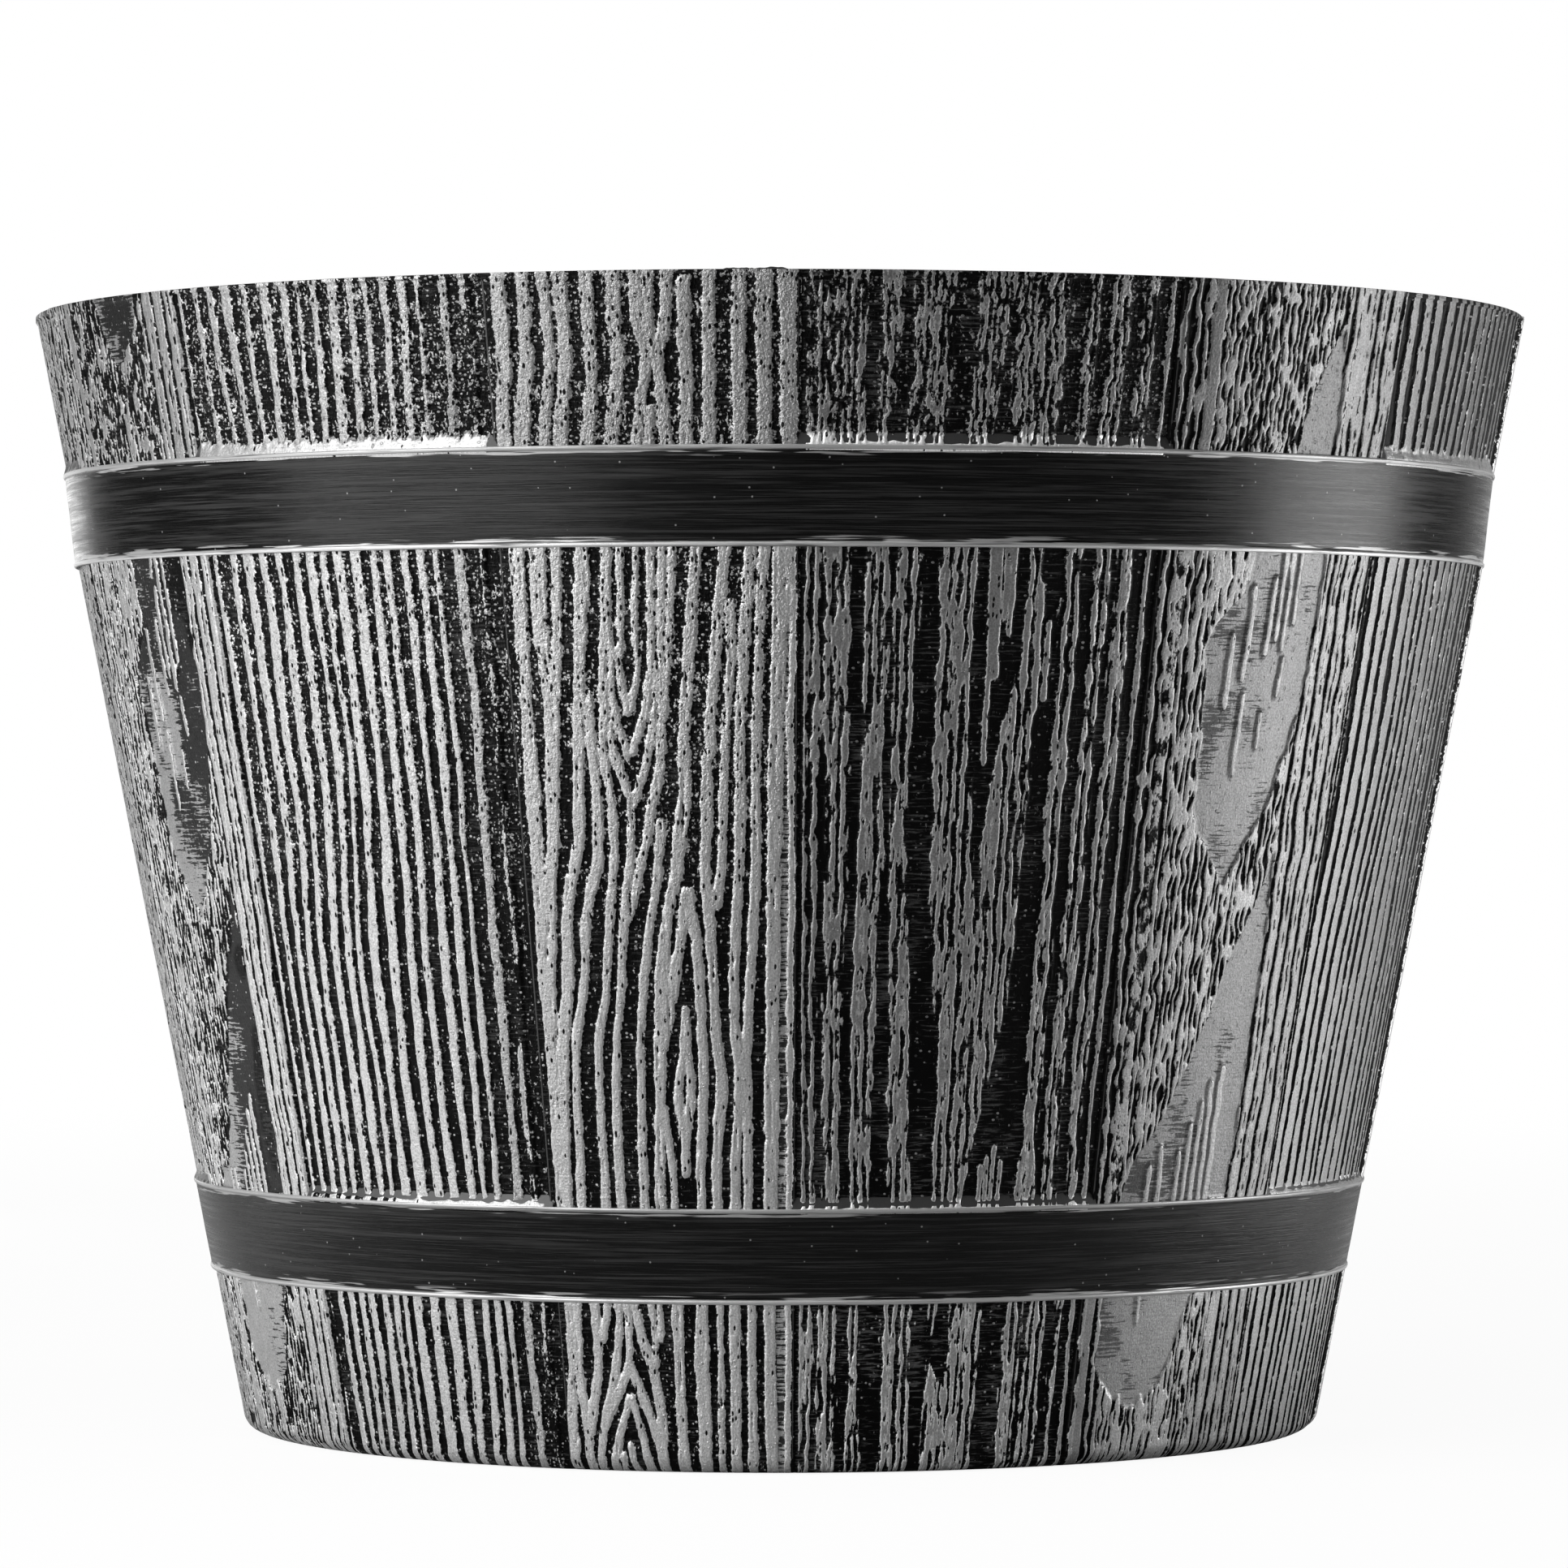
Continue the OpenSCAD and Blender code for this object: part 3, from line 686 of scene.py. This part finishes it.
def closed_skin(name, azimuth, rows, radius, attributes):
    """The mesh of a closed skin: a grid of columns by rows outside, the wall inside.

    Each column is a closed loop that goes up the outside and down the inside; loops are joined
    by quads, and the two end loops are faces."""
    inner_radius = wall_radius(INNER_ROWS) - SKIN_ROOT
    loop_z = np.concatenate([rows, INNER_ROWS])
    loop_r = np.concatenate([radius, np.repeat(inner_radius[:, None], len(azimuth), 1)])
    n_loop, n_col = loop_r.shape
    quads, first, last = joined_loops(n_loop, n_col)
    corners = np.concatenate([quads.ravel(), first, last])
    sizes = np.concatenate([np.full(len(quads), 4), [n_loop, n_loop]])
    mesh = bpy.data.meshes.new(name)
    mesh.vertices.add(loop_r.size)
    points = on_tub(loop_r, np.radians(azimuth), loop_z[:, None])
    mesh.vertices.foreach_set("co", points.astype(np.float32).ravel())
    mesh.loops.add(len(corners))
    mesh.loops.foreach_set("vertex_index", corners.astype(np.int32))
    mesh.polygons.add(len(sizes))
    mesh.polygons.foreach_set("loop_start", (np.cumsum(sizes) - sizes).astype(np.int32))
    layer = mesh.uv_layers.new(name="OFBake")
    layer.uv.foreach_set("vector", skin_map(rows, n_col, loop_z).astype(np.float32).ravel())
    mesh.update(calc_edges=True)
    flat = mesh.attributes.new("sharp_face", "BOOLEAN", "FACE")
    flat.data.foreach_set("value", np.arange(len(sizes)) >= len(quads))
    for key, value in attributes.items():
        full = np.zeros(loop_r.shape + value.shape[2:])
        full[: len(rows)] = value
        kind, field = ("FLOAT_VECTOR", "vector") if value.ndim == 3 else ("FLOAT", "value")
        layer = mesh.attributes.new(key, kind, "POINT")
        layer.data.foreach_set(field, full.reshape(-1).astype(np.float32))
    mesh.validate()
    return mesh


# The finish: silver dry-brushed on black. The skins carry the grain's field in mm, the share of
# paint in a pool, and how bright, dusty, thick-edged and filmed the paint is on each stave; the
# brightness also holds painted light and shade, the bright edges a painted highlight, and the heavy
# film in the front pool a painted sheen
SILVER, BLACK = 0.53, 0.0014
PIT_SCALE, BEAD_SCALE = 1350.0, 1400.0  # pits and beads in a metre

stave_material, start, output = new_material("dry_brushed_grain")
place = start.node("Attribute", {"attribute_name": "place"}, out="Vector")
grain, pool, dust, tone, edge, film_and_sheen = (
    start.node("Attribute", {"attribute_name": name}, out="Fac")
    for name in ("grain", "pool", "dust", "tone", "edge", "film_and_sheen")
)
fine = place.stretched(1.0, 0.6).noise(2000.0, 2.0, 0.6)
coarse = place.stretched(1.0, 0.4).noise(800.0, 2.0, 0.55)
ragged = (fine - 0.5) * 1.0 + (coarse - 0.5) * 0.9
reach = grain + ragged * (0.46 + dust * 1.3)
paint = reach.rise(-0.10, 0.02)
rim = 1 - reach.rise(0.02, 0.20)  # the paint lies thicker along the edge of each ridge, and the brighter edge is partly a painted highlight
# rows of pits in the paint
chains = place.stretched(1.0, 0.5)
pit_near, pit_pick = chains.cells(PIT_SCALE, "Distance"), chains.cells(PIT_SCALE, "Color")
pit_chance = pit_pick.node("SeparateColor", None, {0: pit_pick}) + edge * 0.20 + dust * 0.55
pits = (0.40 - pit_near).rise(0.0, 0.12) * pit_chance.rise(1.0, 1.04)
paint = paint * (1 - pits)
# short hairs of paint across the grooves, and beads in them
hair = place.stretched(0.10, 1.0).noise(2100.0, 3.0, 0.6)
hair_zone = place.stretched(1.0, 0.6).noise(90.0, 2.0, 0.5)
hairs = (hair + hair_zone * 0.5).rise(0.78, 0.92)
flecks = place.stretched(0.8, 1.0)
bead_near, bead_pick = flecks.cells(BEAD_SCALE, "Distance"), flecks.cells(BEAD_SCALE, "Color")
bead_chance = bead_pick.node("SeparateColor", None, {0: bead_pick})
bead_chance = bead_chance + dust + edge * 0.14 * reach.rise(-0.7, -0.2)
bead = (0.40 - bead_near).rise(0.0, 0.14) * bead_chance.rise(1.0, 1.06)
# brushed paint in a pool, and a thin film of it over the rest of the pool; where the film is heavy, in the
# front pool, it is partly a painted sheen
pool_paint = (pool + (hair - 0.5) * 1.5 + (coarse - 0.5) * 0.4).rise(0.46, 0.56) * pool.rise(0.0, 0.01)
pool_film_and_sheen = film_and_sheen * pool.rise(0.02, 0.10) * (0.16 + hair * 0.3)
low_paint = (hairs * (edge * edge * 0.25 + 0.02)).or_more(bead * 0.9)
cover = paint.or_more(low_paint.or_more((pool_paint * 0.76).or_more(pool_film_and_sheen)))
mottle = place.stretched(1.0, 0.5).noise(600.0, 3.0, 0.6)
speckle = place.noise(4200.0, 1.0, 0.5)
spots = place.stretched(1.0, 0.8).noise(2900.0, 1.0, 0.5).rise(0.38, 0.62)
# the silver's brightness: its own mottle and spots, the bright edges partly a painted highlight, and the
# tone, which also holds painted light and shade
shade = (0.40 + mottle * 0.44 + speckle * 0.16 + spots * 0.26 + rim * paint * edge) * tone
silver = start.node("VectorMath", {"operation": "SCALE"}, {0: (SILVER, SILVER, SILVER), "Scale": shade})
colour = cover.mix(grey(BLACK), silver)
relief = paint * 0.6 + bead * 0.9 + (fine + coarse * 0.6) * (0.30 + dust * 2.0) + hair * 0.2 - pits * 0.6
bump = start.node("Bump", None, {"Strength": 0.8, "Distance": 0.0003, "Height": relief})
surface = {
    "Base Color": colour,
    "Roughness": 0.42 + cover * 0.04,
    "Specular IOR Level": 0.07,
    "Metallic": cover * 0.75,
    "Normal": bump,
}
finished(start, output, "BsdfPrincipled", surface)

# Each stave in turn, from the raised one left of the middle round to the right: the kind of grain,
# how far it is moved across in mm, how wide its ridges are and how much of its pools is painted; then
# the paint's dust and tone, how far in mm it stays back from the edges of the ridges, how thick and
# bright it lies there (partly a painted highlight), how much darker it is at the rim (painted shade),
# and its tone on the ramps. The front gapped stave's low tone is painted shade, and its bright ramps
# are painted light
CATHEDRAL_BEHIND = ("cathedral", 0, 1, 0.5, 0.30, 1, -0.05, 0.4, 0, 0.55)
GAPPED_BEHIND = ("gapped", 0, 1, 0.5, 0.08, 0.7, 0, 0.5, 0, 0.55)
STAVES = (
    ("cathedral", 0, 1, 0.5, 0.40, 1.04, -0.06, 0.40, 0.26, 0.55),
    # the front gapped stave: its low tone is painted shade, and its high tone on the ramps painted light
    ("gapped", 0, 1, 0.5, 0.03, 0.55, 0.04, 0.80, 0.10, 2.4),
    ("pool", 0, 1, 0.70, 0.02, 0.68, 0.13, 0.30, 0.24, 0.55),
    ("straight", 6.5, 1.36, 0.5, 0.04, 0.61, 0.26, 0.20, 0.30, 0.85),
    CATHEDRAL_BEHIND,
    GAPPED_BEHIND,
    ("pool", 2, 1, 0.55, 0.04, 1, 0.05, 0.4, 0, 0.55),
    ("straight", 3, 1.15, 0.5, 0.25, 0.95, 0.06, 0.4, 0, 0.55),
    CATHEDRAL_BEHIND,
    GAPPED_BEHIND,
    ("cathedral", 0, 1, 0.5, 0.30, 0.95, -0.05, 0.4, 0, 0.55),
    GAPPED_BEHIND,
    ("pool", 5, 1, 0.40, 0.08, 1, 0.12, 0.4, 0.22, 0.55),
    ("straight", 0, 1, 0.5, 0.36, 1.08, 0.08, 0.45, 0.16, 0.95),
)
FILM_AND_SHEEN, CLEAR = 1.0, 0.15  # how much film lies in the pools: the heavy film in the front pool is partly a painted sheen
MAP_STEP = 0.09  # metres from one stave's patch of the pattern to the next


def stave_paint(number, dust, tone, held, rim_shade, ramp_tone, ramp_paint, t, z, seed):
    """Dust, tone and held-back distance of a stave's paint, at each point of its grid.

    The dust thickens upwards. The silver is brighter towards the foot, as painted light where the lamps
    reach less, and darker at the rim, as painted shade where they fall stronger."""
    high = ease((z - 188) / 10)
    dust = dust * (0.28 + 0.72 * ease((z - 85) / 70) + 0.5 * ease((z - RIM_FIELD) / 8))
    dust = dust * (1 + 0.5 * ripple(t / 11, z / 15, seed + 70))
    right_front = number in (GAPPED_FRONT, POOL_FRONT, STRAIGHT_RIGHT)
    # painted light: the silver is brighter towards the foot, more so on the three front right staves
    tone = tone * (1 + (0.55 if right_front else 0.38) * (1 - ease(z / 110)))
    # painted light: brighter still below the lower hoop on the front right staves
    if right_front:
        tone = tone * (1 + 0.20 * (1 - ease((z - 30) / 15)))
    # painted shade: the silver is darker at the rim
    tone = tone * (1 - rim_shade * high)
    if number in (GAPPED_FRONT, STRAIGHT_LEFT):
        held = held + 0.06 * high
    if number == GAPPED_FRONT:
        dust = dust + 0.22 * high
    if number == STRAIGHT_LEFT:  # its last ridge, beside the middle stave, is left almost black
        tone = tone * (1 - 0.22 * ease((t - 51) / 7))
        dust = dust + 0.14 * ease((t - 53) / 5)
        held = held + 0.75 * ease((t - 60.2 - 0.9 * ease((150 - z) / 90) - 1.4 * high) / 1.2)
    if number == POOL_FRONT:  # its sides are darker, and so is its smooth strip at the rim and the foot
        on_strip = np.abs(t - np.where(z > RIM_FIELD, 7.0, 2.3)) < 1.1
        on_strip = on_strip & ((z < FOOT_FIELD) | (z > RIM_FIELD))
        tone = tone * (0.82 + 0.18 * ease((t - 3) / 12))
        # painted shade: the silver darkens towards its right side, against the gloss of the light on the
        # right
        tone = tone * (1 - 0.22 * ease((t - 30) / 14)) * np.where(on_strip, 0.72, 1)
    tone = tone + (ramp_tone - tone) * ramp_paint
    return np.clip(dust * (1 - ramp_paint), 0, 1), tone, held


for number, (kind, shift, widen, share, dust, tone, held, edge, rim_shade, ramp_tone) in enumerate(STAVES):
    azimuth, rows, radius, field, inside, ramp_paint, t, z, seed = stave_surface(
        number, kind, shift, widen, share
    )
    dust, tone, held = stave_paint(number, dust, tone, held, rim_shade, ramp_tone, ramp_paint, t, z, seed)
    attributes = {
        "grain": np.maximum(field - held, ramp_paint * 1.2 - 0.2),
        "pool": inside,
        "tone": tone,
        "edge": np.full(t.shape, edge),
        "film_and_sheen": np.full(t.shape, FILM_AND_SHEEN if number == POOL_FRONT else CLEAR),
        "dust": dust,
        "place": np.stack([t * MM + number * MAP_STEP, z * MM, np.zeros(t.shape)], -1),
    }
    name = "stave_%02d_%s" % (number + 1, kind)
    skin = placed(name, closed_skin(name, azimuth, rows, radius, attributes), stave_material)
    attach(skin, "tub")

# -------- hoops
# Two bands moulded in one with the wall, painted satin black over the silver. Each has a
# rounded lip along both edges, where the silver shows again.
LIP_WIDTH, LIP_PROUD, FACE_PROUD, HOOP_ROOT = 0.9, 0.34, 0.08, 1.4  # mm
HOOP_COLUMNS, LIP_POINTS, FACE_POINTS, MAP_STRIPS = 900, 9, 22, 9
HOOP_DARK, HOOP_STROKE, LIP_SILVER = 0.001, 0.024, 0.58


def hoop_profile(low, high):
    """Closed profile of a hoop in mm: root, lower lip, face, upper lip, root. A lip is half a sine."""
    foot, top = (wall_radius(np.full(1, z))[0] + HOOP_PROUD + FACE_PROUD for z in (low, high))
    around = np.linspace(0, math.pi, LIP_POINTS)
    lip, bulge = (1 - np.cos(around)) / 2 * LIP_WIDTH, LIP_PROUD * np.sin(around)
    face = np.linspace(low + LIP_WIDTH + 0.4, high - LIP_WIDTH - 0.4, FACE_POINTS)
    z = np.concatenate([[low + 0.02], low + lip, face, high - LIP_WIDTH + lip, [high - 0.02]])
    proud = np.concatenate([[-HOOP_ROOT], bulge, np.zeros(FACE_POINTS), bulge, [-HOOP_ROOT]])
    return foot + (z - low) * ((top - foot) / (high - low)) + proud, z


def ring_map(r, z):
    """The unrolled map of a ring, corner by corner, in equal strips that lie one above another."""
    step = np.hypot(np.diff(r, append=r[0]), np.diff(z, append=z[0]))
    up = np.concatenate([[0], np.cumsum(step)]) / step.sum()
    per_strip = HOOP_COLUMNS // MAP_STRIPS
    strip, along = np.divmod(np.arange(HOOP_COLUMNS), per_strip)
    u0, u1 = 0.003 + 0.994 * along / per_strip, 0.003 + 0.994 * (along + 1) / per_strip
    v0, v1 = (
        (strip[None, :] + 0.03 + 0.94 * side[:, None]) / MAP_STRIPS for side in (up[:-1], up[1:])
    )
    u = np.stack([u0, u1, u1, u0], -1)[None, :, :]
    v = np.stack([v0, v0, v1, v1], -1)
    return np.stack(np.broadcast_arrays(u, v), -1).reshape(-1, 2)


def turned_ring(name, r, z, seed):
    """The mesh of a ring: the closed profile (r, z) carried round the axis, joined to itself.

    Its radius wanders by a few hundredths of a millimetre, closed round the ring."""
    turn = np.linspace(0, math.tau, HOOP_COLUMNS, endpoint=False)
    x = turn / math.tau * 64
    radius = r[:, None] + 0.035 * ripple(np.minimum(x, 64 - x)[None, :], z[:, None] / 5, seed)
    index = np.arange(radius.size).reshape(radius.shape)
    after, right = np.roll(index, -1, 0), np.roll(index, -1, 1)
    quads = np.stack([index, right, np.roll(right, -1, 0), after], -1).reshape(-1, 4)
    mesh = bpy.data.meshes.new(name)
    mesh.from_pydata(on_tub(radius, turn, z[:, None]).tolist(), [], quads.tolist())
    mesh.polygons.foreach_set("use_smooth", np.ones(len(quads), bool))
    layer = mesh.uv_layers.new(name="OFBake")
    layer.uv.foreach_set("vector", ring_map(r, z).astype(np.float32).ravel())
    return mesh


def hoop_finish(name, low, high):
    """Satin black with brush strokes round the tub, and silver on the lips of a hoop from low to high."""
    made, start, output = new_material(name)
    at = start.node("TexCoord", out="Object")
    z = at.along("Z")
    brushed = at.stretched(0.016, 0.016).noise(4200.0, 3.0, 0.6)
    worn = at.stretched(0.035, 0.035).noise(1500.0, 2.0, 0.6)
    cloud = at.noise(60.0, 3.0, 0.6)
    stroke = brushed * 0.45 + at.stretched(0.012, 0.012).noise(1400.0, 3.0, 0.65) * 0.55
    lip_low = 1.0 - z.rise((low + 0.75) * MM, (low + 1.05) * MM)
    lip_high = z.rise((high - 1.05) * MM, (high - 0.75) * MM)
    near_low = 1.0 - z.rise((low + 1.0) * MM, (low + 2.8) * MM)
    near_high = z.rise((high - 2.6) * MM, (high - 1.0) * MM)
    near = near_low.or_more(near_high)
    streaks = (worn + near * 0.16).rise(0.66, 0.72) * near
    dot = (0.075 - at.cells(330.0, "Distance")).rise(0.0, 0.03)
    lips = lip_low.or_more(lip_high * 0.75)
    lip_paint = (worn * 0.8 + brushed * 0.5).rise(0.40, 0.62)
    cover = (lips * (0.12 + lip_paint * 0.88)).or_more((streaks * 0.8).or_more(dot * 0.4))
    face = stroke.rise(0.47, 0.62).mix(grey(HOOP_DARK), grey(HOOP_STROKE))
    colour = cover.mix(face, grey(LIP_SILVER))
    height = brushed * 0.6 + cloud * 0.8 + cover * 0.3
    bump = start.node("Bump", None, {"Strength": 0.30, "Distance": 0.0003, "Height": height})
    surface = {
        "Base Color": colour,
        "Roughness": 0.28 + (stroke - 0.5) * 0.7 + cover * 0.16,
        "Metallic": cover * 0.6,
        "Specular IOR Level": 0.24,
        "Normal": bump,
    }
    finished(start, output, "BsdfPrincipled", surface)
    return made


for name, (low, high) in (("hoop_lower", LOWER_HOOP), ("hoop_upper", UPPER_HOOP)):
    mesh = turned_ring(name, *hoop_profile(low, high), seed=int(low))
    ring = placed(name, mesh, hoop_finish(name + "_black", low, high))
    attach(ring, "tub")

# -------- wall, floor and foot
# The plain side of the moulding: inner wall, floor with its drain seats, ribs and foot ring,
# as the mould left it, in satin black resin. It is the CAD node, with this finish.
resin, start, output = new_material("black_resin")
at = start.node("TexCoord", out="Object")
cloud = at.noise(45.0, 4.0, 0.6)
moulded = at.noise(1800.0, 2.0, 0.5)
colour = cloud.mix(grey(0.024), grey(0.044))
bump = start.node("Bump", None, {"Strength": 0.25, "Distance": 0.0002, "Height": moulded + cloud})
surface = {"Base Color": colour, "Roughness": 0.38 + cloud * 0.16, "Normal": bump}
finished(start, output, "BsdfPrincipled", surface)
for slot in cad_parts["tub"].material_slots:
    slot.material = resin

# -------- flash on the rim
# A little flash that the mould left on the rim, where the photograph shows it: a low wavy fin
# of the same black resin, trimmed almost flush, in line with the outer face.
FIN_SPAN, FIN_POINTS = (-4.2, 1.4), 120  # degrees from the front
FIN_ROOT_Z, FIN_CREST_Z, FIN_LOW, FIN_WAVE = 225.9, 226.48, 0.16, 0.30  # mm
FIN_INSIDE, FIN_OUTSIDE = 151.4, 152.3  # radii in mm, of the root

turn = np.radians(np.linspace(FIN_SPAN[0], FIN_SPAN[1], FIN_POINTS))
along = np.linspace(0, 1, FIN_POINTS)
ends = ease(along * 8) * ease((1 - along) * 8)
wave = np.maximum(ripple(along * 9, 0.5, 900) + 0.3 * ripple(along * 31, 0.5, 901), -0.4)
crest = FIN_CREST_Z + ends * (FIN_LOW + FIN_WAVE * wave)
fin_r = np.array([FIN_INSIDE, FIN_OUTSIDE, FIN_OUTSIDE - 0.1, FIN_INSIDE + 0.3])[:, None]
root = np.full(FIN_POINTS, FIN_ROOT_Z)
fin_z = np.stack([root, root, crest, crest])
quads, first, last = joined_loops(*fin_z.shape)
faces = quads.tolist() + [first.tolist(), last.tolist()]
fin_mesh = bpy.data.meshes.new("rim_flash")
fin_mesh.from_pydata(on_tub(fin_r, turn, fin_z).tolist(), [], faces)
flash = placed("rim_flash", fin_mesh, resin)
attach(flash, "tub")

# -------- drain plugs
# Five plugs of soft matt rubber, each cast in one piece. A plug sits by its head in the seat round
# its drain hole, and pulls out upwards by its knob. They are the CAD nodes, with this finish.
rubber, start, output = new_material("soft_rubber")
at = start.node("TexCoord", out="Object")
bloom = at.noise(220.0, 4.0, 0.6)
colour = bloom.mix(grey(0.012), grey(0.03))
skin_grain = at.noise(2500.0, 2.0, 0.5)
bump = start.node("Bump", None, {"Strength": 0.3, "Distance": 0.0001, "Height": skin_grain})
surface = {"Base Color": colour, "Roughness": 0.62 + bloom * 0.2, "Normal": bump}
finished(start, output, "BsdfPrincipled", surface)
for where in ("centre", "front", "right", "back", "left"):
    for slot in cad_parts["drain_plug_" + where].material_slots:
        slot.material = rubber
